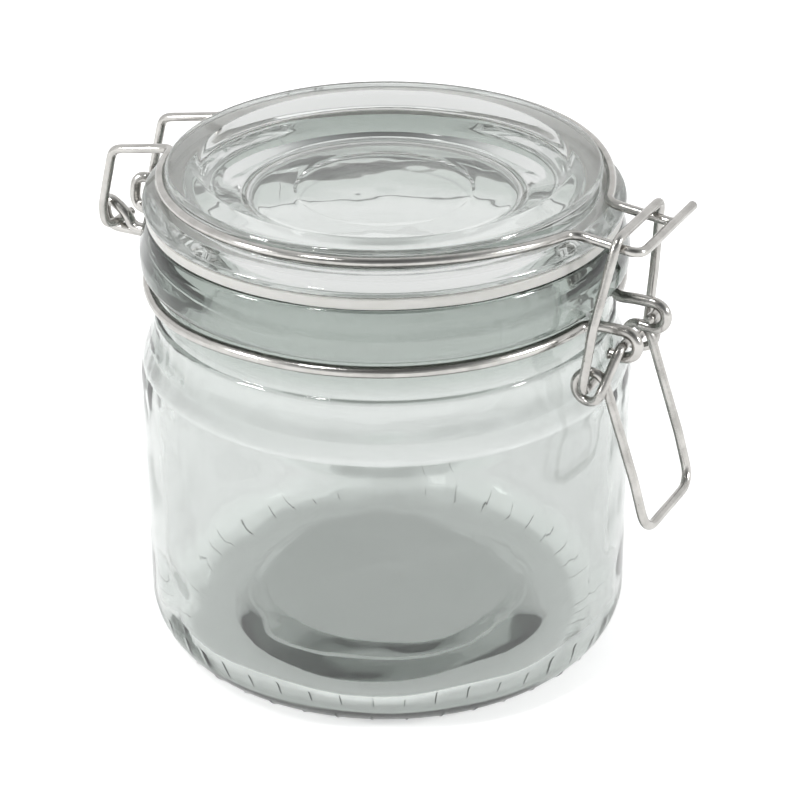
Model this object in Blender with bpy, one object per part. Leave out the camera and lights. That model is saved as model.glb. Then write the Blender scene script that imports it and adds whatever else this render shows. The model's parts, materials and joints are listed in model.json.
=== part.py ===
"""Clip-top glass canister: pressed-glass jar and lid, sealing ring and a bail of bent steel wire.

Every length below is in millimetres and is turned into metres as the meshes are built. The jar stands
on z = 0 around the Z axis, the latch faces -Y and the hinge faces +Y.
"""
import math

import bmesh
import bpy
from mathutils import Vector

MM = 0.001
GLASS_SEGMENTS = 56
SEAL_SEGMENTS = 56
RING_STEP = math.radians(6.0)
BEND_STEP = math.radians(26.0)

# Jar
BODY_RADIUS = 55.0
WALL = 3.6
HEEL_RADIUS = 10.5
BASE_RING_INNER = 38.0
PUSH_UP = 1.1
FLOOR_HEIGHT = 8.4
PUNT_TOP = 28.0
PUNT_FOOT = 36.4
TROUGH_RADIUS = 42.4
TROUGH_HEIGHT = 3.6
CREASE_HEIGHT = 67.5
SHOULDER_LOW = 65.0
SHOULDER_HIGH = 81.0
NECK_RADIUS = 50.6
MOUTH_RADIUS = 45.2
BAND_RADIUS = 53.9
BAND_LOW = 91.6
RIM_HEIGHT = 102.2

# Sealing ring
SEAL_INNER = 44.0
SEAL_OUTER = 52.2
SEAL_THICKNESS = 2.6
GAP = 0.3

# Lid
FLANGE_LOW = RIM_HEIGHT + SEAL_THICKNESS + 2 * GAP
FLANGE_RADIUS = 52.8
FLANGE_THICKNESS = 3.3
GROOVE_RADIUS = 46.9
LIP_RADIUS = 47.5
LIP_LOW = 112.4
LID_TOP = 113.7
DISH_RADIUS = 37.1
DISH_FLOOR = 106.6
PLUG_RADIUS = 43.2
PLUG_LOW = 98.8

# Wires
WIRE = 1.05
NECK_WIRE = 1.25
NECK_RING_RADIUS = 52.3
NECK_RING_HEIGHT = 88.6
NECK_RING_SAG = 1.6
NECK_RING_BACK = 86.6
LID_RING_RADIUS = (48.4, 48.8, 49.6)
LID_RING_HEIGHT = (111.2, 111.6, 109.6)

# Hinge at the back. Pairs are the distance out from the jar's axis and the height.
HINGE = (65.1, 89.2)
EYELET_IN = 5.3
EYELET_OUT = 7.9
EYELET_FLOOR = (69.2, 86.6)
EYELET_TOP = (69.1, 95.8)
EYELET_KNEE = (61.8, 91.1)
EYELET_FOOT = (61.3, 88.6)
HINGE_LEG = 10.6
HINGE_PIN_END = 1.8
LEG_CORNER = (63.4, 108.2)
LEG_BEND = (67.0, 93.5)
LEG_FOOT = (66.5, 88.3)

# Front hooks and the lever's pivot
HOOK_SIDE = 7.8
HOOK_RADIUS = 3.1
PIVOT = (60.9, 86.0)
HOOK_TAIL = 57.2

# Lever
LEVER_PIN_END = 5.4
CRANK_SIDE = 10.5
EYE = (55.6, 77.6)
EYE_RADIUS = 3.25
EYE_SIDE = 15.0
ARM_SIDE = 12.4
ARM_KNEE = (66.2, 56.4)
ARM_END = (69.3, 45.0)

# Link
LINK_FOOT = 17.6
LINK_STUB_END = 8.6
LINK_TOP_SIDE = 11.5
LINK_TOP_OUT = 60.0
LINK_PLAY = 1.0

# Nose of the lid wire
NOSE_SIDE = 9.0
NOSE_OUT = 64.2
NOSE_SLOPE = 0.12
NOSE_FREE_END = 10.1


def clear_scene():
    for item in list(bpy.data.objects):
        bpy.data.objects.remove(item)


def material(name, colour, roughness, metallic=0.0, transmission=0.0):
    made = bpy.data.materials.new(name)
    made.use_nodes = True
    shader = made.node_tree.nodes["Principled BSDF"]
    shader.inputs["Base Color"].default_value = (*colour, 1.0)
    shader.inputs["Roughness"].default_value = roughness
    shader.inputs["Metallic"].default_value = metallic
    shader.inputs["Transmission Weight"].default_value = transmission
    return made


def arc(centre, radius, start, end, steps):
    """Points of an arc in a half-plane, from angle start to angle end in degrees."""
    angles = [math.radians(start + (end - start) * k / steps) for k in range(steps + 1)]
    return [(centre[0] + radius * math.cos(a), centre[1] + radius * math.sin(a)) for a in angles]


def s_curve(low, high, steps):
    """Points between two (radius, height) ends that leave both of them vertically."""
    blends = [k / steps for k in range(steps + 1)]
    easing = [0.5 - 0.5 * math.cos(math.pi * t) for t in blends]
    return [
        (low[0] + (high[0] - low[0]) * e, low[1] + (high[1] - low[1]) * t) for t, e in zip(blends, easing)
    ]


def turned(name, outline, finish, segments, closed=False):
    """Turn an outline of (radius, height) points about Z. An open outline starts and ends on the axis."""
    shape = bmesh.new()
    corners = [shape.verts.new((r * MM, 0.0, z * MM)) for r, z in outline]
    ends = corners[1:] + corners[:1] if closed else corners[1:]
    edges = [shape.edges.new(pair) for pair in zip(corners, ends)]
    bmesh.ops.spin(
        shape, geom=corners + edges, cent=(0, 0, 0), axis=(0, 0, 1), angle=math.tau, steps=segments, use_merge=True
    )
    bmesh.ops.remove_doubles(shape, verts=shape.verts, dist=0.000001)
    bmesh.ops.recalc_face_normals(shape, faces=shape.faces)
    mesh = bpy.data.meshes.new(name)
    shape.to_mesh(mesh)
    shape.free()
    mesh.shade_smooth()
    mesh.set_sharp_from_angle(angle=math.radians(40))
    mesh.materials.append(finish)
    made = bpy.data.objects.new(name, mesh)
    bpy.context.collection.objects.link(made)
    return made


def bent(corners):
    """A wire's centre line: each (point, bend radius) corner becomes an arc, and radius 0 keeps the point."""
    points = [Vector(point) for point, _ in corners]
    line = [points[0]]
    for k in range(1, len(corners) - 1):
        radius = corners[k][1]
        back = (points[k - 1] - points[k]).normalized()
        onward = (points[k + 1] - points[k]).normalized()
        opening = back.angle(onward)
        turn = math.pi - opening
        if radius == 0.0 or turn < math.radians(3.0):
            line.append(points[k])
            continue
        reach = radius / math.tan(opening / 2)
        centre = points[k] + (back + onward).normalized() * radius / math.sin(opening / 2)
        start = points[k] + back * reach - centre
        side = (points[k] + onward * reach - centre - start * math.cos(turn)) / math.sin(turn)
        steps = max(2, math.ceil(turn / BEND_STEP))
        for n in range(steps + 1):
            angle = turn * n / steps
            line.append(centre + start * math.cos(angle) + side * math.sin(angle))
    line.append(points[-1])
    return line


def mirrored(points):
    return [Vector((-p.x, p.y, p.z)) for p in points]


def wire(name, points, radius, pivot, finish):
    """A round wire along a centre line, with its origin at the pivot."""
    origin = Vector(pivot) * MM
    path = bpy.data.curves.new(name, "CURVE")
    path.dimensions = "3D"
    path.bevel_depth = radius * MM
    path.bevel_resolution = 2
    path.use_fill_caps = True
    spline = path.splines.new("POLY")
    spline.points.add(len(points) - 1)
    for knot, point in zip(spline.points, points):
        knot.co = (*(point * MM - origin), 1.0)
    path.materials.append(finish)
    made = bpy.data.objects.new(name, path)
    made.location = origin
    bpy.context.collection.objects.link(made)
    return made


def as_mesh(made):
    """Replace a wire's curve object by a mesh object of the same shape."""
    name, origin = made.name, made.location.copy()
    evaluated = made.evaluated_get(bpy.context.evaluated_depsgraph_get())
    mesh = bpy.data.meshes.new_from_object(evaluated)
    bpy.data.objects.remove(made)
    mesh.name = name
    swapped = bpy.data.objects.new(name, mesh)
    swapped.location = origin
    bpy.context.collection.objects.link(swapped)
    return swapped


def side_view(points, sides):
    """Points given as (out from the axis towards the latch, height), placed at the given x values."""
    return [Vector((x, -out, z)) for (out, z), x in zip(points, sides)]


def glass_jar(finish):
    outer_heel = arc((BODY_RADIUS - HEEL_RADIUS, HEEL_RADIUS), HEEL_RADIUS, -90, 0, 6)
    shoulder = s_curve((BODY_RADIUS, SHOULDER_LOW), (NECK_RADIUS, SHOULDER_HIGH), 6)
    rim = [
        (NECK_RADIUS, BAND_LOW - 1.2),
        (BAND_RADIUS - 1.2, BAND_LOW - 0.3),
        (BAND_RADIUS, BAND_LOW + 1.0),
        (BAND_RADIUS, BAND_LOW + 3.0),
        (BAND_RADIUS - 0.6, BAND_LOW + 6.6),
        (BAND_RADIUS - 1.5, RIM_HEIGHT - 1.2),
        (BAND_RADIUS - 2.8, RIM_HEIGHT),
        (MOUTH_RADIUS + 0.9, RIM_HEIGHT),
        (MOUTH_RADIUS, RIM_HEIGHT - 0.9),
    ]
    inner_radius = BODY_RADIUS - WALL
    inner_shoulder = [
        (MOUTH_RADIUS, SHOULDER_HIGH + 4.0),
        (MOUTH_RADIUS + 0.4, SHOULDER_HIGH),
        (MOUTH_RADIUS + 2.7, CREASE_HEIGHT + 3.8),
        (MOUTH_RADIUS + 3.4, CREASE_HEIGHT + 1.9),
        (inner_radius - 0.6, CREASE_HEIGHT - 0.6),
        (inner_radius, CREASE_HEIGHT - 2.6),
    ]
    bowl = inner_radius - TROUGH_RADIUS
    inner_heel = arc((TROUGH_RADIUS, TROUGH_HEIGHT + bowl), bowl, 0, -90, 5)
    punt = [(PUNT_FOOT, TROUGH_HEIGHT), (PUNT_TOP, FLOOR_HEIGHT - 0.1), (0.0, FLOOR_HEIGHT)]
    underside = [(0.0, PUSH_UP), (BASE_RING_INNER, 0.0)]
    outline = underside + outer_heel + shoulder + rim + inner_shoulder + inner_heel + punt
    return turned("glass_jar", outline, finish, GLASS_SEGMENTS)


def gasket(finish):
    low = RIM_HEIGHT + GAP
    high = low + SEAL_THICKNESS
    edge = 0.6
    outline = [
        (SEAL_INNER, low),
        (SEAL_OUTER - edge, low),
        (SEAL_OUTER, low + edge),
        (SEAL_OUTER, high - edge),
        (SEAL_OUTER - edge, high),
        (SEAL_INNER, high),
    ]
    return turned("gasket", outline, finish, SEAL_SEGMENTS, closed=True)


def glass_lid(finish):
    plug = [
        (0.0, PLUG_LOW + 2.6),
        (PLUG_RADIUS - 12.0, PLUG_LOW + 2.2),
        (PLUG_RADIUS - 8.0, PLUG_LOW),
        (PLUG_RADIUS - 2.2, PLUG_LOW),
        (PLUG_RADIUS - 0.9, PLUG_LOW + 0.9),
        (PLUG_RADIUS, FLANGE_LOW),
    ]
    flange = [
        (FLANGE_RADIUS - 0.5, FLANGE_LOW),
        (FLANGE_RADIUS, FLANGE_LOW + 0.5),
        (FLANGE_RADIUS - 0.2, FLANGE_LOW + 1.2),
        (FLANGE_RADIUS - 1.0, FLANGE_LOW + 2.0),
        (FLANGE_RADIUS - 2.4, FLANGE_LOW + 2.7),
        (FLANGE_RADIUS - 3.8, FLANGE_LOW + 3.1),
        (GROOVE_RADIUS + 0.4, FLANGE_LOW + FLANGE_THICKNESS),
        (GROOVE_RADIUS, FLANGE_LOW + FLANGE_THICKNESS + 0.4),
    ]
    lip = [
        (GROOVE_RADIUS, LIP_LOW - 0.3),
        (LIP_RADIUS - 0.5, LIP_LOW),
        (LIP_RADIUS, LIP_LOW + 0.4),
        (LIP_RADIUS - 0.4, LID_TOP - 0.1),
        (LIP_RADIUS - 1.2, LID_TOP),
        (LIP_RADIUS - 5.4, LID_TOP),
    ]
    dish = [
        (DISH_RADIUS + 2.0, LID_TOP - 1.4),
        (DISH_RADIUS, LID_TOP - 2.2),
        (DISH_RADIUS - 2.4, DISH_FLOOR + 1.4),
        (DISH_RADIUS - 5.0, DISH_FLOOR),
        (0.0, DISH_FLOOR + 0.5),
    ]
    return turned("glass_lid", plug + flange + lip + dish, finish, GLASS_SEGMENTS)


def neck_ring_point(angle):
    """A point of the neck wire's ring, by its angle from the hinge. It sags a little on each side."""
    height = NECK_RING_HEIGHT
    if angle < math.pi / 2:
        height -= NECK_RING_SAG * math.sin(2 * angle) ** 2
    return Vector((NECK_RING_RADIUS * math.sin(angle), NECK_RING_RADIUS * math.cos(angle), height))


def ring_angles(start, end):
    steps = math.ceil((end - start) / RING_STEP)
    return [start + (end - start) * k / steps for k in range(steps + 1)]


def neck_wire(finish):
    """One wire: hook, ring, eyelet, back of the ring, eyelet, ring, hook. Only its +X half is worked out."""
    inner = math.asin(EYELET_IN / NECK_RING_RADIUS)
    outer = math.asin(EYELET_OUT / NECK_RING_RADIUS)
    front = math.pi - math.asin(HOOK_SIDE / NECK_RING_RADIUS)
    back_ring = [(neck_ring_point(a), 0.0) for a in ring_angles(0.0, inner)]
    for point, _ in back_ring:
        point.z = NECK_RING_BACK
    side_ring = [(neck_ring_point(a), 0.0) for a in ring_angles(outer, front)]
    middle = (EYELET_IN + EYELET_OUT) / 2
    eyelet = [
        (Vector((EYELET_IN + 0.4, *EYELET_FLOOR)), 2.6),
        (Vector((middle + 0.4, *EYELET_TOP)), 2.2),
        (Vector((EYELET_OUT, *EYELET_KNEE)), 2.2),
        (Vector((EYELET_OUT, *EYELET_FOOT)), 1.6),
    ]
    hook = [(p, 0.0) for p in side_view(arc(PIVOT, HOOK_RADIUS, 90, -90, 7), [HOOK_SIDE] * 8)]
    lead = Vector((HOOK_SIDE, -(NECK_RING_RADIUS + 4.0), PIVOT[1] + HOOK_RADIUS))
    tail = Vector((HOOK_SIDE, -HOOK_TAIL, PIVOT[1] - HOOK_RADIUS + 0.4))
    half = bent(
        back_ring[:-1]
        + [(back_ring[-1][0], 2.2)]
        + eyelet
        + [(side_ring[0][0], 2.4)]
        + side_ring[1:-1]
        + [(side_ring[-1][0], 2.6), (lead, 0.0)]
        + hook
        + [(tail, 0.0)]
    )
    whole = mirrored(half)[::-1] + half[1:]
    return wire("neck_wire", whole, NECK_WIRE, (0, 0, 0), finish)


def lid_ring_point(angle):
    """A point of the lid wire's ring, by its angle from the hinge. It widens and drops close to the latch."""
    rise = min(1.0, math.degrees(angle) / 60.0)
    drop = max(0.0, (math.degrees(angle) - 120.0) / 50.0) ** 2
    radius, height = (
        back + (side - back) * rise + (front - side) * drop
        for back, side, front in (LID_RING_RADIUS, LID_RING_HEIGHT)
    )
    return Vector((radius * math.sin(angle), radius * math.cos(angle), height))


def nose_height(out):
    """Height of the nose's two radial wires, which slope down away from the lid."""
    return LID_RING_HEIGHT[2] - NOSE_SLOPE * (out - LID_RING_RADIUS[2])


def lid_wire_side():
    """The +X side, from its hinge pin up the leg, round the lid and out along the nose."""
    back = math.asin(HINGE_LEG / LID_RING_RADIUS[0])
    front = math.pi - math.asin(NOSE_SIDE / LID_RING_RADIUS[2])
    hinge_part = [
        (Vector((HINGE_PIN_END, *HINGE)), 0.0),
        (Vector((HINGE_LEG - 2.4, *HINGE)), 3.0),
        (Vector((HINGE_LEG, *LEG_FOOT)), 1.5),
        (Vector((HINGE_LEG, *LEG_BEND)), 8.0),
        (Vector((HINGE_LEG, *LEG_CORNER)), 2.6),
        (lid_ring_point(back), 2.6),
    ]
    ring = [(lid_ring_point(a), 0.0) for a in ring_angles(back, front)[1:-1]]
    return hinge_part + ring + [(lid_ring_point(front), 3.0)]


def lid_wire(finish):
    pivot = (0, *HINGE)
    bar_height = nose_height(NOSE_OUT)
    side = lid_wire_side()
    welded = bent(side + [(Vector((NOSE_SIDE, -(NOSE_OUT - 0.3), bar_height)), 0.0)])
    barred = mirrored(bent(side + [(Vector((NOSE_SIDE, -NOSE_OUT, bar_height)), 0.0)]))
    corner = Vector((-NOSE_SIDE, -NOSE_OUT, bar_height))
    free_end = Vector((NOSE_FREE_END, -NOSE_OUT, bar_height))
    barred = barred[:-2] + bent([(barred[-2], 0.0), (corner, 2.4), (free_end, 0.0)])
    main = as_mesh(wire("lid_wire", barred, WIRE, pivot, finish))
    other = as_mesh(wire("lid_wire_welded_side", welded, WIRE, pivot, finish))
    other.hide_render = True
    other.display_type = "WIRE"
    weld = main.modifiers.new("weld", "BOOLEAN")
    weld.operation = "UNION"
    weld.object = other
    return main


def latch_lever(finish):
    """Handle, eyes, cranks and inward pins, worked out for +X from the middle of the handle's bar."""
    crank_run = Vector((PIVOT[0] - EYE[0], PIVOT[1] - EYE[1]))
    crank_angle = math.degrees(math.atan2(crank_run.y, crank_run.x))
    crank_angle += math.degrees(math.asin(EYE_RADIUS / crank_run.length))
    arm_run = Vector((EYE[0] - ARM_KNEE[0], EYE[1] - ARM_KNEE[1]))
    arm_angle = math.degrees(math.atan2(arm_run.y, arm_run.x))
    arm_angle -= math.degrees(math.asin(EYE_RADIUS / arm_run.length))
    loop = arc(EYE, EYE_RADIUS, arm_angle - 90, crank_angle + 270, 11)
    rise = [ARM_SIDE + (EYE_SIDE - ARM_SIDE) * k / (len(loop) - 1) for k in range(len(loop))]
    eye = [(p, 0.0) for p in side_view(loop, rise)]
    half = bent(
        [
            (Vector((0, -ARM_END[0], ARM_END[1])), 0.0),
            (Vector((ARM_SIDE, -ARM_END[0], ARM_END[1])), 4.0),
            (Vector((ARM_SIDE, -ARM_KNEE[0], ARM_KNEE[1])), 5.0),
        ]
        + eye
        + [
            (Vector((CRANK_SIDE, -PIVOT[0], PIVOT[1])), 1.5),
            (Vector((LEVER_PIN_END, -PIVOT[0], PIVOT[1])), 0.0),
        ]
    )
    whole = mirrored(half)[::-1] + half[1:]
    return wire("latch_lever", whole, WIRE, (0, -PIVOT[0], PIVOT[1]), finish)


def latch_link(finish):
    """A loop that hooks over the nose, with two inward stubs that turn in the lever's eyes."""
    top = nose_height(LINK_TOP_OUT) + 2 * WIRE + LINK_PLAY
    half = bent(
        [
            (Vector((0, -LINK_TOP_OUT, top)), 0.0),
            (Vector((LINK_TOP_SIDE, -LINK_TOP_OUT, top)), 2.6),
            (Vector((LINK_FOOT - 1.2, -EYE[0] - 1.6, EYE[1] + 15.0)), 12.0),
            (Vector((LINK_FOOT, -EYE[0], EYE[1])), 1.7),
            (Vector((LINK_STUB_END, -EYE[0], EYE[1])), 0.0),
        ]
    )
    whole = mirrored(half)[::-1] + half[1:]
    return wire("latch_link", whole, WIRE, (0, -EYE[0], EYE[1]), finish)


def build():
    clear_scene()
    glass_colour = (0.80, 0.84, 0.82)
    steel_colour = (0.62, 0.61, 0.59)
    glass_jar(material("jar_glass", glass_colour, 0.03, transmission=0.9))
    glass_lid(material("lid_glass", glass_colour, 0.03, transmission=0.9))
    gasket(material("clear_silicone", (0.82, 0.80, 0.76), 0.35, transmission=0.4))
    neck_wire(material("neck_steel", steel_colour, 0.25, metallic=1.0))
    lid_wire(material("lid_steel", steel_colour, 0.22, metallic=1.0))
    latch_lever(material("lever_steel", steel_colour, 0.24, metallic=1.0))
    latch_link(material("link_steel", steel_colour, 0.24, metallic=1.0))


build()
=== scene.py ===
"""Looks of the clip-top glass canister: pressed glass, a clear sealing ring and bent stainless wire.

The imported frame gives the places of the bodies. Lengths below are millimetres in the row frame, as in the
part's own source, and become metres when a mesh is made. The latch faces -Y and the hinge faces +Y.
"""
import json
import math

import bmesh
import bpy
import numpy as np
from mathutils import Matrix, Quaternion, Vector


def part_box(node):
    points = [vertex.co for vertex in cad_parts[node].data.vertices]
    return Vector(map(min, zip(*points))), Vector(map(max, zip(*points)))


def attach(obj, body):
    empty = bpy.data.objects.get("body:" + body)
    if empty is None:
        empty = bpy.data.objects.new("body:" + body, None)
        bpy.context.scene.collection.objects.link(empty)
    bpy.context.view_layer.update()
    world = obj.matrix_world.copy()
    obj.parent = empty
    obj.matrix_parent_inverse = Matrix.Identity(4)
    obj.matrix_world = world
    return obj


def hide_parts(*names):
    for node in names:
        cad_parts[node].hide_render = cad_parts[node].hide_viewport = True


MM = 0.001

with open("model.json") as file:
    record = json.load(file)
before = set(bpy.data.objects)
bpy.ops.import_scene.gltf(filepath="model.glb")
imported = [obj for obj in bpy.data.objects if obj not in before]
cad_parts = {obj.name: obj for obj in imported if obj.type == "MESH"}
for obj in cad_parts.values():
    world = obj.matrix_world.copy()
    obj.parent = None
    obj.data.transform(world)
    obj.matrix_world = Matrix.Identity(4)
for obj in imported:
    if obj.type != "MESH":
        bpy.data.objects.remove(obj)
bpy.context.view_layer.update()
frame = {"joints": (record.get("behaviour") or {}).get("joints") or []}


def joint_place(name):
    """(distance out from the jar's axis, height) of a joint's axis in mm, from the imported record."""
    joint = next(j for j in frame["joints"] if j["name"] == name)
    return abs(joint["pos_m"][1]) / MM, joint["pos_m"][2] / MM


def top_of(node):
    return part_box(node)[1].z / MM


def half_width_of(node):
    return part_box(node)[1].x / MM


# Jar and lid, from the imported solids
BODY_RADIUS = half_width_of("glass_jar")
RIM_HEIGHT = top_of("glass_jar")
LID_TOP = top_of("glass_lid")
FLANGE_RADIUS = half_width_of("glass_lid")
SEAL_OUTER = half_width_of("gasket")
SEAL_TOP = top_of("gasket")
HINGE = joint_place("lid_hinge")
PIVOT = joint_place("lever_pivot")
EYE = joint_place("link_pivot")

# Jar
HEEL_RADIUS = 10.5
BASE_RING = 38.0
PUSH_UP = 1.1
INNER_RADIUS = BODY_RADIUS - 3.6
FLOOR_HEIGHT = 8.4
PUNT_TOP = 28.0
PUNT_FOOT = 36.4
TROUGH_RADIUS = 42.4
TROUGH_HEIGHT = 3.6
SHOULDER_LOW = 65.0
SHOULDER_HIGH = 81.0
NECK_RADIUS = 50.6
CREASE_HEIGHT = 67.5
MOUTH_RADIUS = 45.2
BAND_RADIUS = 53.9
BAND_LOW = 91.6
INSIDE_WAVE = 0.09
OUTSIDE_WAVE = 0.03
SHOULDER_RIPPLE = 0.05
HEEL_WAVE = 0.30
SEAM_ANGLES = (math.radians(-120.9), math.radians(59.1))
SECOND_SEAM = SEAM_ANGLES[0] - math.radians(5.0)
SEAM_WIDTH = 0.0035  # radians
BAND_SEAM = 0.16
WALL_SEAM = 0.05
SECOND_SEAM_RISE = 0.10
TICK_COUNT = 42
TICK_START = math.radians(-121.9)
TICK_WIDTH = 0.0042  # radians
TICK_RISE = 0.22
TICK_SHORTEST = 1.2
TICK_SPARE = 3.4

# Sealing ring
SEAL_INNER = 44.0
SEAL_LOW = RIM_HEIGHT + 0.3
SEAL_WAVE = 0.07

# Lid
FLANGE_LOW = SEAL_TOP + 0.3
GROOVE_RADIUS = 46.9
LIP_RADIUS = 47.5
LIP_LOW = 112.4
DISH_RADIUS = 37.1
DISH_FLOOR = 106.6
DISC_RADIUS = 19.1
PLUG_RADIUS = 43.2
PLUG_LOW = 98.8
TOP_WAVE = 0.03
UNDER_WAVE = 0.04

# Wires
WIRE = 1.05
NECK_WIRE = 1.25
NECK_RING_RADIUS = 52.3
NECK_RING_HEIGHT = 88.6
NECK_RING_SAG = 1.6
NECK_RING_BACK = 86.6
LID_RING_RADIUS = (48.4, 48.8, 49.6)
LID_RING_HEIGHT = (111.2, 111.6, 109.6)
EYELET_IN = 5.3
EYELET_OUT = 7.9
EYELET_FLOOR = (69.2, 86.6)
EYELET_TOP = (69.1, 95.8)
EYELET_KNEE = (61.8, 91.1)
EYELET_FOOT = (61.3, 88.6)
HINGE_LEG = 10.6
HINGE_PIN_END = 1.8
LEG_CORNER = (63.4, 108.2)
LEG_BEND = (67.0, 93.5)
LEG_FOOT = (66.5, 88.3)
HOOK_SIDE = 7.8
HOOK_RADIUS = 3.1
HOOK_TAIL = 57.2
LEVER_PIN_END = 5.4
CRANK_SIDE = 10.5
EYE_RADIUS = 3.25
EYE_SIDE = 15.0
ARM_SIDE = 12.4
ARM_KNEE = (66.2, 56.4)
ARM_END = (69.3, 45.0)
LINK_FOOT = 17.6
LINK_STUB_END = 8.6
LINK_TOP_SIDE = 11.5
LINK_TOP_OUT = 60.0
LINK_PLAY = 1.0
NOSE_SIDE = 9.0
NOSE_OUT = 64.2
NOSE_SLOPE = 0.12
NOSE_FREE_END = 19.5
WELD_SIZE = (1.5, 1.55, 0.98)
WELD_LUMPS = 0.07

# Glass colours. The jar's tint paints light and shade by height. It is lighter and greener at the heel,
# painted light for the light that comes in through the side there. It is much darker from the shoulder top
# through the neck and rim band, painted shade for the darkening under the neck wire and through the band,
# partly also the deeper colour of the thicker glass there. Each stop of a tint is (height as a share of
# TINT_SPAN, colour).
TINT_SPAN = 0.120  # metres
PALE_GLASS = (0.995, 0.998, 0.996)
DEEP_GLASS = (0.975, 0.982, 0.978)
WALL_TINT = (0.88, 0.882, 0.882)
# painted light: the heel's glass is tinted lighter than the wall
HEEL_PAINTED_LIGHT_TINT = (0.90, 0.925, 0.91)
# painted shade: the neck and rim band are tinted much darker, partly the deeper colour of thick glass
NECK_TINT_AND_PAINTED_SHADE = (0.60, 0.63, 0.61)
LID_TINT = (0.80, 0.805, 0.80)
JAR_TINTS_WITH_PAINTED_LIGHT = (
    (0.0, HEEL_PAINTED_LIGHT_TINT),
    (0.045, HEEL_PAINTED_LIGHT_TINT),
    (0.085, WALL_TINT),
    (0.66, WALL_TINT),
    (0.71, NECK_TINT_AND_PAINTED_SHADE),
    (1.0, NECK_TINT_AND_PAINTED_SHADE),
)
LID_TINTS = ((0.0, LID_TINT), (1.0, LID_TINT))
JAR_DENSITY = 68.0
LID_DENSITY = 6.0

# Studio
DARK_SIDE = (-0.55, -0.29, 0.78)
STUDIO_TONES = (
    (0.0, (1.0, 1.0, 1.0)),
    (0.45, (0.93, 0.94, 0.94)),
    (0.80, (0.36, 0.37, 0.37)),
    (1.0, (0.12, 0.12, 0.12)),
)
STUDIO_STRENGTH = 1.05
TABLE_GLOW = 0.46
TABLE_REACH = 6.0  # metres
TABLE_GAP = 0.0004  # metres between the table and the jar's base
LIGHT_BOUNCES = 28


# ---------------------------------------------------------------- meshes


def add_mesh(name, corners, faces, finish, coordinates=None):
    """A smooth-shaded object from corners in mm."""
    mesh = bpy.data.meshes.new(name)
    mesh.from_pydata((np.asarray(corners) * MM).tolist(), [], faces)
    if coordinates is not None:
        layer = mesh.uv_layers.new(name="along")
        layer.data.foreach_set("uv", np.asarray(coordinates, np.float32).ravel())
    mesh.shade_smooth()
    mesh.materials.append(finish)
    mesh.validate()
    made = bpy.data.objects.new(name, mesh)
    bpy.context.scene.collection.objects.link(made)
    return made


def rounded(corners, closed=False, step=1.6):
    """A dense outline of (radius, height) points from corners (radius, height, fillet)."""
    count = len(corners)
    places = [np.array(c[:2], float) for c in corners]
    dense = []
    for k, (_, _, fillet) in enumerate(corners):
        here = places[k]
        if fillet == 0 or (not closed and k in (0, count - 1)):
            dense.append(here)
            continue
        back = places[k - 1] - here
        onward = places[(k + 1) % count] - here
        back, onward = back / np.linalg.norm(back), onward / np.linalg.norm(onward)
        half = math.acos(np.clip(back @ onward, -1, 1)) / 2
        turn = math.pi - 2 * half
        if turn < 0.02:
            dense.append(here)
            continue
        start = back * fillet / math.tan(half)
        centre = here + (back + onward) / np.linalg.norm(back + onward) * fillet / math.sin(half)
        end = onward * fillet / math.tan(half)
        pieces = max(2, math.ceil(turn / 0.26))
        for n in range(pieces + 1):
            a = turn * n / pieces
            arm = (here + start - centre) * math.sin(turn - a) + (here + end - centre) * math.sin(a)
            dense.append(centre + arm / math.sin(turn))
    filled = []
    spans = dense + dense[:1] if closed else dense
    for a, b in zip(spans, spans[1:]):
        parts = max(1, math.ceil(np.linalg.norm(b - a) / step))
        filled += [a + (b - a) * n / parts for n in range(parts)]
    return np.array(filled if closed else filled + [dense[-1]])


def s_curve(low, high, steps=14):
    """Corners between two (radius, height) ends that leave both of them vertically."""
    corners = []
    for k in range(steps + 1):
        share = k / steps
        eased = 0.5 - 0.5 * math.cos(math.pi * share)
        corners.append((low[0] + (high[0] - low[0]) * eased, low[1] + (high[1] - low[1]) * share, 0))
    return corners


def arc(centre, radius, start, end, steps):
    angles = [math.radians(start + (end - start) * k / steps) for k in range(steps + 1)]
    return [(centre[0] + radius * math.cos(a), centre[1] + radius * math.sin(a)) for a in angles]


def corners_of(points):
    return [(*p, 0) for p in points]


def swell(seed, longest, shortest, waves=14):
    """A smooth random field of (x, y, z) in mm with values near -1 to 1, as on pressed glass."""
    draws = np.random.default_rng(seed)
    heading = draws.normal(size=(waves, 3))
    heading /= np.linalg.norm(heading, axis=1)[:, None]
    length = np.exp(draws.uniform(math.log(shortest), math.log(longest), waves))
    rates = math.tau * heading / length[:, None]
    phase, size = draws.uniform(0, math.tau, waves), draws.uniform(0.5, 1.0, waves)
    size /= math.sqrt((size**2).sum())

    def value(x, y, z):
        return sum(w * np.cos(r[0] * x + r[1] * y + r[2] * z + p) for w, r, p in zip(size, rates, phase))

    return value


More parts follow.
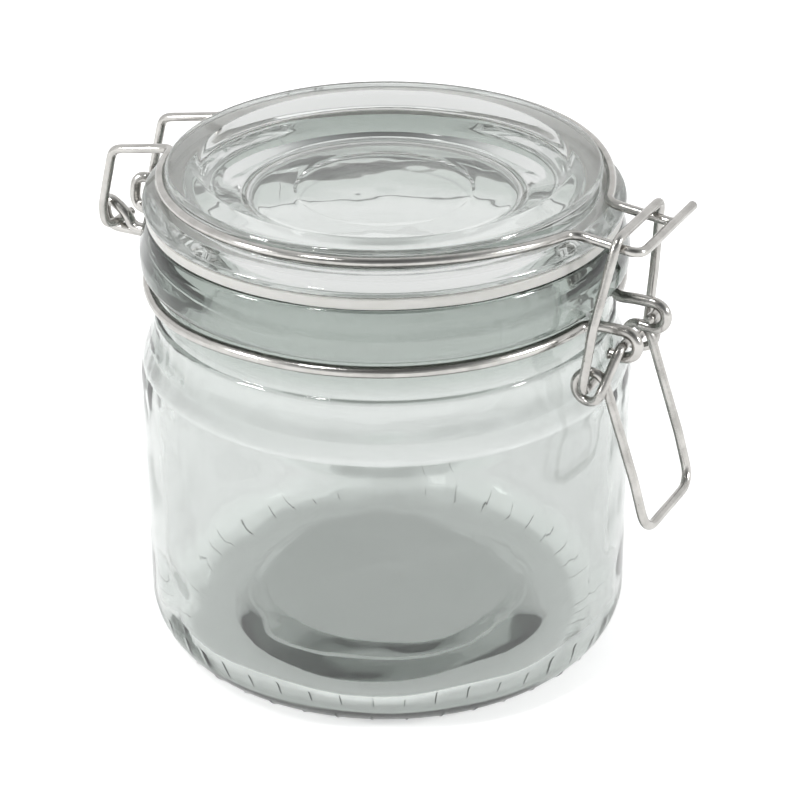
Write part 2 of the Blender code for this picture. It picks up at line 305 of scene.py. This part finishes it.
def lathe(name, outline, finish, angles, offset, closed=False):
    """An outline turned about Z at the given angles. offset(angle, x, y, z, along) pushes it out, in mm."""
    outline = np.asarray(outline, float)
    after = np.roll(outline, -1, 0) - outline
    before = outline - np.roll(outline, 1, 0)
    if not closed:
        after[-1], before[0] = before[-1], after[0]
    run = after / np.linalg.norm(after, axis=1)[:, None] + before / np.linalg.norm(before, axis=1)[:, None]
    outward = np.stack([run[:, 1], -run[:, 0]], 1) / np.linalg.norm(run, axis=1)[:, None]
    along = np.concatenate([[0], np.cumsum(np.linalg.norm(np.diff(outline, axis=0), axis=1))])
    angle = np.asarray(angles)[None, :]
    radius, height = outline[:, 0:1] + 0 * angle, outline[:, 1:2] + 0 * angle
    angle = angle + 0 * radius
    push = offset(angle, radius * np.cos(angle), radius * np.sin(angle), height, along[:, None] + 0 * angle)
    radius = radius + push * outward[:, 0:1]
    height = height + push * outward[:, 1:2]
    rows, count = radius.shape
    corners = np.stack([radius * np.cos(angle), radius * np.sin(angle), height], -1).reshape(-1, 3)
    faces = []
    if not closed:
        ends = np.array([[0, 0, height[0].mean()], [0, 0, height[-1].mean()]])
        inner = corners[count : (rows - 1) * count]
        corners = np.concatenate([ends, inner])
        rows -= 2
        first, last = 2, 2 + (rows - 1) * count
        for j in range(count):
            k = (j + 1) % count
            faces.append((0, first + k, first + j))
            faces.append((1, last + j, last + k))
    base = 0 if closed else 2
    for i in range(rows if closed else rows - 1):
        lower, upper = base + i * count, base + ((i + 1) % rows) * count
        for j in range(count):
            k = (j + 1) % count
            faces.append((lower + j, lower + k, upper + k, upper + j))
    return add_mesh(name, corners, faces, finish)


def angle_set(even, marks=(), near=()):
    """Even angles round the axis, with extra ones at the given distances each side of some marks."""
    values = [math.tau * k / even for k in range(even)]
    fine = [m + side * d for m in marks for d in near for side in (-1, 1)] + list(marks)
    fine = [f % math.tau for f in fine]
    clearance = max(near) * 1.25 if near else 0
    kept = [v for v in values if all(abs((v - m + math.pi) % math.tau - math.pi) > clearance for m in marks)]
    return np.array(sorted(kept + fine))


def nearness(angle, marks, width):
    """1 on a mark and 0 away from it, falling off over a width in radians."""
    total = 0 * angle
    for mark in marks:
        gap = (angle - mark + math.pi) % math.tau - math.pi
        total = np.maximum(total, np.exp(-((gap / width) ** 2)))
    return total


def band(value, low, high, fade):
    """1 between low and high, fading to 0 over a distance outside them."""
    return np.clip(np.minimum(value - low, high - value) / fade + 1, 0, 1)


# ---------------------------------------------------------------- wire paths


def bent(corners, step=math.radians(7)):
    """A wire's centre line: each (point, bend radius) corner becomes an arc, and radius 0 keeps the point."""
    points = [Vector(point) for point, _ in corners]
    line = [points[0]]
    for k in range(1, len(corners) - 1):
        radius = corners[k][1]
        back = (points[k - 1] - points[k]).normalized()
        onward = (points[k + 1] - points[k]).normalized()
        opening = back.angle(onward)
        turn = math.pi - opening
        if radius == 0.0 or turn < math.radians(3.0):
            line.append(points[k])
            continue
        reach = radius / math.tan(opening / 2)
        centre = points[k] + (back + onward).normalized() * radius / math.sin(opening / 2)
        start = points[k] + back * reach - centre
        side = (points[k] + onward * reach - centre - start * math.cos(turn)) / math.sin(turn)
        steps = max(3, math.ceil(turn / step))
        for n in range(steps + 1):
            angle = turn * n / steps
            line.append(centre + start * math.cos(angle) + side * math.sin(angle))
    line.append(points[-1])
    return line


def mirrored(points):
    return [Vector((-p.x, p.y, p.z)) for p in points]


def side_view(points, sides):
    """Points given as (out from the axis towards the latch, height), placed at the given x values."""
    return [Vector((x, -out, z)) for (out, z), x in zip(points, sides)]


def smoothed(points, spacing=0.7):
    """The same line with evenly spaced points and its small kinks eased."""
    path = np.array([tuple(p) for p in points])
    lengths = np.linalg.norm(np.diff(path, axis=0), axis=1)
    path = path[np.concatenate([[True], lengths > 1e-4])]
    along = np.concatenate([[0], np.cumsum(np.linalg.norm(np.diff(path, axis=0), axis=1))])
    count = max(4, round(along[-1] / spacing))
    places = np.linspace(0, along[-1], count + 1)
    path = np.stack([np.interp(places, along, path[:, k]) for k in range(3)], 1)
    for _ in range(3):
        path[1:-1] = path[1:-1] * 0.5 + (path[:-2] + path[2:]) * 0.25
    return path


def wire(name, points, radius, finish, around=20):
    """A drawn wire along a centre line, with cropped ends and a map of (around, along)."""
    path = smoothed(points)
    run = np.gradient(path, axis=0)
    run /= np.linalg.norm(run, axis=1)[:, None]
    across = np.cross(run[0], (0.0, 0.0, 1.0) if abs(run[0][2]) < 0.9 else (1.0, 0.0, 0.0))
    across /= np.linalg.norm(across)
    frames = []
    for direction in run:
        across = across - direction * (across @ direction)
        across /= np.linalg.norm(across)
        frames.append((across, np.cross(direction, across)))
    chamfer = radius * 0.16
    rings = [(path[0], 0, radius * 0.80), (path[0] + run[0] * chamfer, 0, radius)]
    rings += [(p, k, radius) for k, p in enumerate(path) if 0 < k < len(path) - 1]
    last = len(path) - 1
    rings += [(path[last] - run[last] * chamfer, last, radius), (path[last], last, radius * 0.80)]
    corners, along = [], [0.0]
    for n, (centre, k, size) in enumerate(rings):
        if n:
            along.append(along[-1] + float(np.linalg.norm(centre - rings[n - 1][0])))
        for m in range(around):
            angle = math.tau * m / around
            corners.append(centre + size * (frames[k][0] * math.cos(angle) + frames[k][1] * math.sin(angle)))
    faces, coordinates = [], []
    for n in range(len(rings) - 1):
        for m in range(around):
            low, high, nxt = n * around, (n + 1) * around, (m + 1) % around
            faces.append((low + m, low + nxt, high + nxt, high + m))
            u0, u1 = m / around, (m + 1) / around
            coordinates += [(u0, along[n]), (u1, along[n]), (u1, along[n + 1]), (u0, along[n + 1])]
    for n, flip, side in ((0, True, -1), (len(rings) - 1, False, 1)):
        centre = len(corners)
        corners.append(rings[n][0] + run[rings[n][1]] * side * radius * 0.05)
        for m in range(around):
            pair = (n * around + m, n * around + (m + 1) % around)
            faces.append((centre, *(pair[::-1] if flip else pair)))
            coordinates += [(m / around, along[n])] * 3
    return add_mesh(name, corners, faces, finish, coordinates)


def neck_ring_point(angle):
    height = NECK_RING_HEIGHT
    if angle < math.pi / 2:
        height -= NECK_RING_SAG * math.sin(2 * angle) ** 2
    return Vector((NECK_RING_RADIUS * math.sin(angle), NECK_RING_RADIUS * math.cos(angle), height))


def ring_angles(start, end):
    steps = math.ceil((end - start) / math.radians(2.0))
    return [start + (end - start) * k / steps for k in range(steps + 1)]


def neck_wire_path():
    inner = math.asin(EYELET_IN / NECK_RING_RADIUS)
    outer = math.asin(EYELET_OUT / NECK_RING_RADIUS)
    front = math.pi - math.asin(HOOK_SIDE / NECK_RING_RADIUS)
    back_ring = [(neck_ring_point(a), 0.0) for a in ring_angles(0.0, inner)]
    for point, _ in back_ring:
        point.z = NECK_RING_BACK
    side_ring = [(neck_ring_point(a), 0.0) for a in ring_angles(outer, front)]
    middle = (EYELET_IN + EYELET_OUT) / 2
    eyelet = [
        (Vector((EYELET_IN + 0.4, *EYELET_FLOOR)), 2.6),
        (Vector((middle + 0.4, *EYELET_TOP)), 2.2),
        (Vector((EYELET_OUT, *EYELET_KNEE)), 2.2),
        (Vector((EYELET_OUT, *EYELET_FOOT)), 1.6),
    ]
    hook = [(p, 0.0) for p in side_view(arc(PIVOT, HOOK_RADIUS, 90, -90, 24), [HOOK_SIDE] * 25)]
    lead = Vector((HOOK_SIDE, -(NECK_RING_RADIUS + 4.0), PIVOT[1] + HOOK_RADIUS))
    tail = Vector((HOOK_SIDE, -HOOK_TAIL, PIVOT[1] - HOOK_RADIUS + 0.4))
    half = bent(
        back_ring[:-1]
        + [(back_ring[-1][0], 2.2)]
        + eyelet
        + [(side_ring[0][0], 2.4)]
        + side_ring[1:-1]
        + [(side_ring[-1][0], 2.6), (lead, 0.0)]
        + hook
        + [(tail, 0.0)]
    )
    return mirrored(half)[::-1] + half[1:]


def lid_ring_point(angle):
    rise = min(1.0, math.degrees(angle) / 60.0)
    drop = max(0.0, (math.degrees(angle) - 120.0) / 50.0) ** 2
    radius, height = (
        back + (side - back) * rise + (front - side) * drop
        for back, side, front in (LID_RING_RADIUS, LID_RING_HEIGHT)
    )
    return Vector((radius * math.sin(angle), radius * math.cos(angle), height))


def nose_height(out):
    return LID_RING_HEIGHT[2] - NOSE_SLOPE * (out - LID_RING_RADIUS[2])


def lid_wire_side():
    back = math.asin(HINGE_LEG / LID_RING_RADIUS[0])
    front = math.pi - math.asin(NOSE_SIDE / LID_RING_RADIUS[2])
    hinge_part = [
        (Vector((HINGE_PIN_END, *HINGE)), 0.0),
        (Vector((HINGE_LEG - 2.4, *HINGE)), 3.0),
        (Vector((HINGE_LEG, *LEG_FOOT)), 1.5),
        (Vector((HINGE_LEG, *LEG_BEND)), 8.0),
        (Vector((HINGE_LEG, *LEG_CORNER)), 2.6),
        (lid_ring_point(back), 2.6),
    ]
    ring = [(lid_ring_point(a), 0.0) for a in ring_angles(back, front)[1:-1]]
    return hinge_part + ring + [(lid_ring_point(front), 3.0)]


def lid_wire_paths():
    """The long run with the cross-bar, and the +X side that is welded to it."""
    bar_height = nose_height(NOSE_OUT)
    side = lid_wire_side()
    welded = bent(side + [(Vector((NOSE_SIDE, -(NOSE_OUT - 0.3), bar_height)), 0.0)])
    barred = mirrored(bent(side + [(Vector((NOSE_SIDE, -NOSE_OUT, bar_height)), 0.0)]))
    corner = Vector((-NOSE_SIDE, -NOSE_OUT, bar_height))
    free_end = Vector((NOSE_FREE_END, -NOSE_OUT, bar_height))
    return barred[:-2] + bent([(barred[-2], 0.0), (corner, 2.4), (free_end, 0.0)]), welded


def lever_path():
    crank_run = Vector((PIVOT[0] - EYE[0], PIVOT[1] - EYE[1]))
    crank_angle = math.degrees(math.atan2(crank_run.y, crank_run.x))
    crank_angle += math.degrees(math.asin(EYE_RADIUS / crank_run.length))
    arm_run = Vector((EYE[0] - ARM_KNEE[0], EYE[1] - ARM_KNEE[1]))
    arm_angle = math.degrees(math.atan2(arm_run.y, arm_run.x))
    arm_angle -= math.degrees(math.asin(EYE_RADIUS / arm_run.length))
    loop = arc(EYE, EYE_RADIUS, arm_angle - 90, crank_angle + 270, 44)
    rise = [ARM_SIDE + (EYE_SIDE - ARM_SIDE) * k / (len(loop) - 1) for k in range(len(loop))]
    half = bent(
        [
            (Vector((0, -ARM_END[0], ARM_END[1])), 0.0),
            (Vector((ARM_SIDE, -ARM_END[0], ARM_END[1])), 4.0),
            (Vector((ARM_SIDE, -ARM_KNEE[0], ARM_KNEE[1])), 5.0),
        ]
        + [(p, 0.0) for p in side_view(loop, rise)]
        + [
            (Vector((CRANK_SIDE, -PIVOT[0], PIVOT[1])), 1.5),
            (Vector((LEVER_PIN_END, -PIVOT[0], PIVOT[1])), 0.0),
        ]
    )
    return mirrored(half)[::-1] + half[1:]


def link_path():
    top = nose_height(LINK_TOP_OUT) + 2 * WIRE + LINK_PLAY
    half = bent(
        [
            (Vector((0, -LINK_TOP_OUT, top)), 0.0),
            (Vector((LINK_TOP_SIDE, -LINK_TOP_OUT, top)), 2.6),
            (Vector((LINK_FOOT - 1.2, -EYE[0] - 1.6, EYE[1] + 15.0)), 12.0),
            (Vector((LINK_FOOT, -EYE[0], EYE[1])), 1.7),
            (Vector((LINK_STUB_END, -EYE[0], EYE[1])), 0.0),
        ]
    )
    return mirrored(half)[::-1] + half[1:]


# ---------------------------------------------------------------- materials


def new_material(name):
    made = bpy.data.materials.new(name)
    made.use_nodes = True
    nodes, links = made.node_tree.nodes, made.node_tree.links
    return made, nodes, links, nodes["Principled BSDF"]


def noise(nodes, links, vector, scale, detail=2.0, roughness=0.5):
    made = nodes.new("ShaderNodeTexNoise")
    made.inputs["Scale"].default_value = scale
    made.inputs["Detail"].default_value = detail
    made.inputs["Roughness"].default_value = roughness
    links.new(vector, made.inputs["Vector"])
    return made.outputs["Fac"]


def ramp(nodes, links, value, stops):
    """A colour ramp: stops are (position, colour)."""
    made = nodes.new("ShaderNodeValToRGB")
    marks = made.color_ramp.elements
    while len(marks) < len(stops):
        marks.new(0.5)
    for mark, (position, colour) in zip(marks, stops):
        mark.position = position
        mark.color = (*colour, 1.0)
    links.new(value, made.inputs["Fac"])
    return made.outputs["Color"]


def spread(nodes, links, value, low, high):
    """A noise value turned into the range low to high."""
    made = nodes.new("ShaderNodeMapRange")
    made.inputs["From Min"].default_value = 0.3
    made.inputs["From Max"].default_value = 0.7
    made.inputs["To Min"].default_value = low
    made.inputs["To Max"].default_value = high
    links.new(value, made.inputs["Value"])
    return made.outputs["Result"]


def bump(nodes, links, height, distance, strength, after=None):
    made = nodes.new("ShaderNodeBump")
    made.inputs["Distance"].default_value = distance
    made.inputs["Strength"].default_value = strength
    links.new(height, made.inputs["Height"])
    if after is not None:
        links.new(after, made.inputs["Normal"])
    return made.outputs["Normal"]


def stretched(nodes, links, source, scale):
    made = nodes.new("ShaderNodeMapping")
    made.inputs["Scale"].default_value = scale
    links.new(source, made.inputs["Vector"])
    return made.outputs["Vector"]


def glass(name, density, tints):
    """Soda glass: grey-green, with mould ripples, a few dull patches and a tint that changes with height; on
    the jar that tint is painted light at the heel and painted shade in the neck and rim band.
    """
    made, nodes, links, shader = new_material(name)
    place = nodes.new("ShaderNodeTexCoord").outputs["Object"]
    slow = noise(nodes, links, place, 28.0, 1.0)
    height = nodes.new("ShaderNodeSeparateXYZ")
    links.new(place, height.inputs["Vector"])
    share = nodes.new("ShaderNodeMath")
    share.operation = "DIVIDE"
    share.inputs[1].default_value = TINT_SPAN
    links.new(height.outputs["Z"], share.inputs[0])
    tone = nodes.new("ShaderNodeMix")
    tone.data_type, tone.blend_type = "RGBA", "MULTIPLY"
    tone.inputs["Factor"].default_value = 1.0
    links.new(ramp(nodes, links, slow, ((0.3, PALE_GLASS), (0.7, DEEP_GLASS))), tone.inputs["A"])
    # height ramp: on the jar, painted light at the heel and painted shade in the neck and rim band
    links.new(ramp(nodes, links, share.outputs["Value"], tints), tone.inputs["B"])
    links.new(tone.outputs["Result"], shader.inputs["Base Color"])
    dull = noise(nodes, links, place, 95.0, 3.0)
    links.new(spread(nodes, links, dull, 0.0, 0.03), shader.inputs["Roughness"])
    ripples = noise(nodes, links, stretched(nodes, links, place, (1.0, 1.0, 0.45)), 105.0, 1.0)
    links.new(bump(nodes, links, ripples, 0.0012, 0.05), shader.inputs["Normal"])
    shader.inputs["Transmission Weight"].default_value = 1.0
    shader.inputs["IOR"].default_value = 1.5
    inside = nodes.new("ShaderNodeVolumeAbsorption")
    inside.inputs["Color"].default_value = (0.42, 0.468, 0.437, 1.0)
    inside.inputs["Density"].default_value = density
    links.new(inside.outputs["Volume"], nodes["Material Output"].inputs["Volume"])
    return made


def silicone(name):
    """Clear silicone gone slightly cloudy, with a faint matt bloom."""
    made, nodes, links, shader = new_material(name)
    place = nodes.new("ShaderNodeTexCoord").outputs["Object"]
    cloud = noise(nodes, links, place, 160.0, 3.0)
    tones = ((0.3, (0.86, 0.85, 0.81)), (0.7, (0.91, 0.90, 0.875)))
    links.new(ramp(nodes, links, cloud, tones), shader.inputs["Base Color"])
    links.new(spread(nodes, links, cloud, 0.28, 0.42), shader.inputs["Roughness"])
    grain = noise(nodes, links, place, 900.0, 2.0)
    links.new(bump(nodes, links, grain, 0.0002, 0.3), shader.inputs["Normal"])
    shader.inputs["Transmission Weight"].default_value = 0.6
    shader.inputs["IOR"].default_value = 1.41
    return made


def steel(name, light, dark, smooth, rough):
    """Bright drawn stainless wire: fine die lines along it, soft patches of tone and small handling marks."""
    made, nodes, links, shader = new_material(name)
    coordinates = nodes.new("ShaderNodeTexCoord")
    drawn_out = stretched(nodes, links, coordinates.outputs["UV"], (34.0, 0.12, 1.0))
    lines = noise(nodes, links, drawn_out, 1.0, 3.0)
    patches = noise(nodes, links, coordinates.outputs["Object"], 210.0, 3.0, 0.6)
    marks = noise(nodes, links, coordinates.outputs["Object"], 1400.0, 2.0)
    links.new(ramp(nodes, links, patches, ((0.34, dark), (0.62, light))), shader.inputs["Base Color"])
    links.new(spread(nodes, links, patches, rough, smooth), shader.inputs["Roughness"])
    drawn = bump(nodes, links, lines, 0.00012, 0.35)
    links.new(bump(nodes, links, marks, 0.00008, 0.25, drawn), shader.inputs["Normal"])
    shader.inputs["Metallic"].default_value = 1.0
    return made


def lit_table(name):
    """A white photographic light table that glows a little."""
    made, nodes, links, shader = new_material(name)
    place = nodes.new("ShaderNodeTexCoord").outputs["Object"]
    grain = noise(nodes, links, place, 60.0, 4.0)
    tones = ((0.3, (0.79, 0.79, 0.79)), (0.7, (0.81, 0.81, 0.81)))
    links.new(ramp(nodes, links, grain, tones), shader.inputs["Base Color"])
    shader.inputs["Roughness"].default_value = 0.7
    shader.inputs["Specular IOR Level"].default_value = 0.1
    shader.inputs["Emission Color"].default_value = (1.0, 1.0, 1.0, 1.0)
    shader.inputs["Emission Strength"].default_value = TABLE_GLOW
    return made


# ---------------------------------------------------------------- glass, sealing ring and weld


def jar_outline():
    """Corners (radius, height, fillet) from the middle of the underside, over the rim, to the inner floor."""
    corners = [(0, PUSH_UP, 0), (12, PUSH_UP - 0.1, 30), (BASE_RING, 0.0, 14)]
    corners += corners_of(arc((BODY_RADIUS - HEEL_RADIUS, HEEL_RADIUS), HEEL_RADIUS, -90, 0, 26))
    corners += s_curve((BODY_RADIUS, SHOULDER_LOW), (NECK_RADIUS + 0.7, SHOULDER_HIGH - 0.3), 16)
    corners += [
        (NECK_RADIUS, SHOULDER_HIGH + 0.2, 0.3),
        (NECK_RADIUS, BAND_LOW - 1.4, 0.7),
        (BAND_RADIUS - 0.7, BAND_LOW - 0.5, 0.5),
        (BAND_RADIUS, BAND_LOW + 1.0, 0.9),
        (BAND_RADIUS, BAND_LOW + 4.0, 4.0),
        (BAND_RADIUS - 1.1, RIM_HEIGHT - 2.4, 2.0),
        (BAND_RADIUS - 2.0, RIM_HEIGHT, 1.0),
        (MOUTH_RADIUS, RIM_HEIGHT, 1.3),
    ]
    corners += [
        (MOUTH_RADIUS, SHOULDER_HIGH + 2.0, 14),
        (MOUTH_RADIUS + 2.9, CREASE_HEIGHT + 2.2, 0.8),
        (INNER_RADIUS, CREASE_HEIGHT - 0.6, 1.2),
    ]
    bowl = INNER_RADIUS - TROUGH_RADIUS
    corners += corners_of(arc((TROUGH_RADIUS, TROUGH_HEIGHT + bowl), bowl, 0, -90, 22))
    corners += [
        (PUNT_FOOT, TROUGH_HEIGHT, 1.0),
        (PUNT_FOOT - 3.8, TROUGH_HEIGHT + 2.5, 0.6),
        (PUNT_FOOT - 4.5, TROUGH_HEIGHT + 2.55, 0.6),
        (PUNT_TOP, FLOOR_HEIGHT, 1.6),
    ]
    return rounded(corners + [(0, FLOOR_HEIGHT + 0.2, 0)])


def glass_jar(finish):
    """The jar, with uneven inner walls, rippled shoulder, mould seams and ticks round the heel."""
    outside, inside = swell(11, 60, 18), swell(23, 48, 13)
    heel, ripple = swell(5, 40, 14), swell(17, 11, 4)
    ticks = [TICK_START + math.tau * k / TICK_COUNT for k in range(TICK_COUNT)]
    reach = np.random.default_rng(3).uniform(0.35, 1.0, TICK_COUNT)
    outline = jar_outline()
    mouth = int(np.argmax(outline[:, 1]))
    mouth_along = float(np.linalg.norm(np.diff(outline[: mouth + 1], axis=0), axis=1).sum()) + 0.1

    def offset(angle, x, y, z, along):
        radius = np.hypot(x, y)
        inner = along > mouth_along
        push = np.where(
            inner,
            INSIDE_WAVE * inside(x, y, z) * band(z, 0, 84, 4),
            OUTSIDE_WAVE * outside(x, y, z) * band(z, 12, 78, 8),
        )
        push += np.where(inner, 0, SHOULDER_RIPPLE * ripple(x, y, z) * band(z, 62, 84, 5))
        push += np.where(inner, HEEL_WAVE * heel(x, y, z) * band(z, 8, 22, 6) * (radius > 30), 0)
        low = band(z, 0.6, 4.6, 0.5) * (radius > 44) * ~inner
        for tick, length in zip(ticks, reach):
            tall = z < TICK_SHORTEST + TICK_SPARE * length
            push += TICK_RISE * nearness(angle, [tick], TICK_WIDTH) * low * tall
        seam = np.maximum(BAND_SEAM * band(z, 82, 101.5, 1.0), WALL_SEAM * band(z, 12, 82, 3.0))
        push += seam * nearness(angle, SEAM_ANGLES, SEAM_WIDTH) * ~inner
        second = nearness(angle, [SECOND_SEAM], 0.004) * band(z, 93, 98, 0.6)
        return push + SECOND_SEAM_RISE * second * ~inner

    marks = ticks + [SEAM_ANGLES[1], SECOND_SEAM]
    return lathe("jar_body", outline, finish, angle_set(200, marks, (0.0022, 0.0045, 0.009)), offset)


def glass_lid(finish):
    """The lid from the middle of its underside, over plug, flange, wire groove and lip, to the dished top."""
    top = FLANGE_LOW + 3.3
    corners = [
        (0, PLUG_LOW + 2.7, 0),
        (PLUG_RADIUS - 12.4, PLUG_LOW + 2.3, 6),
        (PLUG_RADIUS - 8.4, PLUG_LOW, 2.2),
        (PLUG_RADIUS - 0.2, PLUG_LOW, 1.6),
        (PLUG_RADIUS, FLANGE_LOW, 0.4),
        (FLANGE_RADIUS, FLANGE_LOW, 0.55),
        (FLANGE_RADIUS - 0.1, FLANGE_LOW + 1.5, 1.0),
        (FLANGE_RADIUS - 3.0, top - 0.25, 2.4),
        (GROOVE_RADIUS, top + 0.1, 0.5),
        (GROOVE_RADIUS, LIP_LOW, 0.3),
        (LIP_RADIUS, LIP_LOW + 0.2, 0.3),
        (LIP_RADIUS, LID_TOP, 1.0),
        (DISH_RADIUS + 3.4, LID_TOP - 0.25, 3.0),
        (DISH_RADIUS + 0.4, LID_TOP - 2.0, 0.6),
        (DISH_RADIUS - 7.6, DISH_FLOOR + 0.5, 4.5),
        (DISC_RADIUS + 0.7, DISH_FLOOR + 0.45, 0.4),
        (DISC_RADIUS, DISH_FLOOR + 0.2, 0.4),
        (0, DISH_FLOOR + 0.35, 0),
    ]
    outline = rounded(corners, step=1.3)
    upper, lower = swell(31, 44, 16), swell(37, 40, 13)

    def offset(angle, x, y, z, along):
        radius = np.hypot(x, y)
        seat = band(z, FLANGE_LOW - 0.4, FLANGE_LOW + 0.6, 0.2)
        under = (z < FLANGE_LOW - 0.8) & (radius < PLUG_RADIUS + 1)
        size = np.where(under, UNDER_WAVE, TOP_WAVE) * (1 - seat)
        return size * np.where(under, lower(x, y, z), upper(x, y, z))

    return lathe("lid_body", outline, finish, angle_set(288), offset)


def gasket(finish):
    corners = [
        (SEAL_INNER, SEAL_LOW, 0.4),
        (SEAL_OUTER, SEAL_LOW, 0.5),
        (SEAL_OUTER, SEAL_TOP, 0.5),
        (SEAL_INNER, SEAL_TOP, 0.4),
    ]
    outline = rounded(corners, closed=True, step=0.9)
    uneven = swell(41, 50, 12)

    def offset(angle, x, y, z, along):
        return SEAL_WAVE * uneven(x, y, z) * (np.hypot(x, y) > SEAL_OUTER - 1.0)

    return lathe("seal_ring", outline, finish, angle_set(220), offset, closed=True)


def weld(finish):
    """The nugget where the cross-bar crosses the +X side of the lid wire."""
    made = bpy.data.meshes.new("weld_nugget")
    sphere = bpy.data.objects.new("weld_nugget", made)
    shape = bmesh.new()
    bmesh.ops.create_icosphere(shape, subdivisions=4, radius=1.0)
    lumps = swell(53, 2.4, 0.9)
    middle = Vector((NOSE_SIDE, -(NOSE_OUT - 0.9), nose_height(NOSE_OUT) + 0.05))
    for corner in shape.verts:
        p = corner.co.copy()
        corner.co = p * Vector(WELD_SIZE) * (1 + WELD_LUMPS * float(lumps(*p))) * MM
        corner.co += middle * MM
    shape.to_mesh(made)
    shape.free()
    made.shade_smooth()
    made.materials.append(finish)
    bpy.context.scene.collection.objects.link(sphere)
    return sphere


# ---------------------------------------------------------------- the object

# the jar's glass gets painted light at the heel and painted shade in the neck and rim band from its height
# tints
jar_glass = glass("jar_glass", JAR_DENSITY, JAR_TINTS_WITH_PAINTED_LIGHT)
lid_glass = glass("lid_glass", LID_DENSITY, LID_TINTS)
seal_finish = silicone("clear_silicone")
bright, dim = (0.50, 0.488, 0.468), (0.40, 0.39, 0.372)
neck_steel = steel("neck_steel", bright, dim, 0.14, 0.26)
lid_steel = steel("lid_steel", bright, dim, 0.12, 0.24)
lever_steel = steel("lever_steel", bright, dim, 0.16, 0.30)
link_steel = steel("link_steel", bright, dim, 0.16, 0.30)

barred, welded = lid_wire_paths()
for piece, body, node, slot in (
    (glass_jar(jar_glass), "jar", "glass_jar", "jar_glass"),
    (wire("neck_wire_bent", neck_wire_path(), NECK_WIRE, neck_steel), "jar", "neck_wire", "neck_steel"),
    (glass_lid(lid_glass), "lid", "glass_lid", "lid_glass"),
    (gasket(seal_finish), "lid", "gasket", "seal"),
    (wire("lid_wire_long", barred, WIRE, lid_steel), "lid", "lid_wire", "lid_steel"),
    (wire("lid_wire_short", welded, WIRE, lid_steel), "lid", "lid_wire", "lid_steel"),
    (weld(lid_steel), "lid", "lid_wire", "lid_steel"),
    (wire("lever_bent", lever_path(), WIRE, lever_steel), "lever", "latch_lever", "lever_steel"),
    (wire("link_bent", link_path(), WIRE, link_steel), "link", "latch_link", "link_steel"),
):
    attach(piece, body)
    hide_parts(node)

# ---------------------------------------------------------------- floor, light and camera


def floor():
    mesh = bpy.data.meshes.new("floor")
    signs = ((-1, -1), (1, -1), (1, 1), (-1, 1))
    corners = [(TABLE_REACH * across, TABLE_REACH * away, -TABLE_GAP) for across, away in signs]
    mesh.from_pydata(corners, [], [(0, 1, 2, 3)])
    mesh.materials.append(lit_table("white_table"))
    made = bpy.data.objects.new("floor", mesh)
    bpy.context.scene.collection.objects.link(made)


def soft_light(name, place, target, size, power):
    lamp = bpy.data.lights.new(name, "AREA")
    lamp.shape = "RECTANGLE"
    lamp.size, lamp.size_y = size
    lamp.energy = power
    made = bpy.data.objects.new(name, lamp)
    made.location = place
    made.rotation_euler = (Vector(target) - Vector(place)).to_track_quat("-Z", "Y").to_euler()
    bpy.context.scene.collection.objects.link(made)


def sky():
    """A white studio room with one darker part, high up over the camera's side."""
    world = bpy.data.worlds.new("studio")
    bpy.context.scene.world = world
    world.use_nodes = True
    nodes, links = world.node_tree.nodes, world.node_tree.links
    direction = nodes.new("ShaderNodeTexCoord").outputs["Generated"]
    toward = nodes.new("ShaderNodeVectorMath")
    toward.operation = "DOT_PRODUCT"
    toward.inputs[1].default_value = DARK_SIDE
    links.new(direction, toward.inputs[0])
    links.new(ramp(nodes, links, toward.outputs["Value"], STUDIO_TONES), nodes["Background"].inputs["Color"])
    nodes["Background"].inputs["Strength"].default_value = STUDIO_STRENGTH


def camera():
    """A long-lens view from the -X side, turned towards the latch, about 28 degrees above the table."""
    azimuth, roll = math.radians(-62.0), math.radians(0.5)
    away, height = 0.53286, 0.33662
    place = Vector((math.sin(azimuth) * away, -math.cos(azimuth) * away, height))
    target = Vector((0.0, 0.0, 0.05458))
    view = bpy.data.cameras.new("camera")
    view.lens = 119.46
    view.sensor_width = 36.0
    view.shift_x = 0.01725
    made = bpy.data.objects.new("camera", view)
    made.location = place
    aim = (target - place).to_track_quat("-Z", "Y")
    made.rotation_mode = "QUATERNION"
    made.rotation_quaternion = aim @ Quaternion((0, 0, 1), -roll)
    bpy.context.scene.collection.objects.link(made)
    bpy.context.scene.camera = made


floor()
sky()
soft_light("left_window", (-0.95, 0.77, 0.60), (0, 0, 0.07), (0.20, 0.30), 9.0)
soft_light("right_window", (0.10, -1.21, 0.60), (0, 0, 0.07), (0.20, 0.30), 9.0)
soft_light("high_window", (-0.7, 0.2, 1.2), (0, 0, 0.08), (0.10, 0.24), 4.0)
camera()
bpy.context.scene.view_settings.view_transform = "Standard"
bpy.context.scene.cycles.max_bounces = LIGHT_BOUNCES
bpy.context.scene.cycles.transmission_bounces = LIGHT_BOUNCES
bpy.context.scene.cycles.glossy_bounces = LIGHT_BOUNCES
bpy.context.scene.cycles.sample_clamp_indirect = 4.0
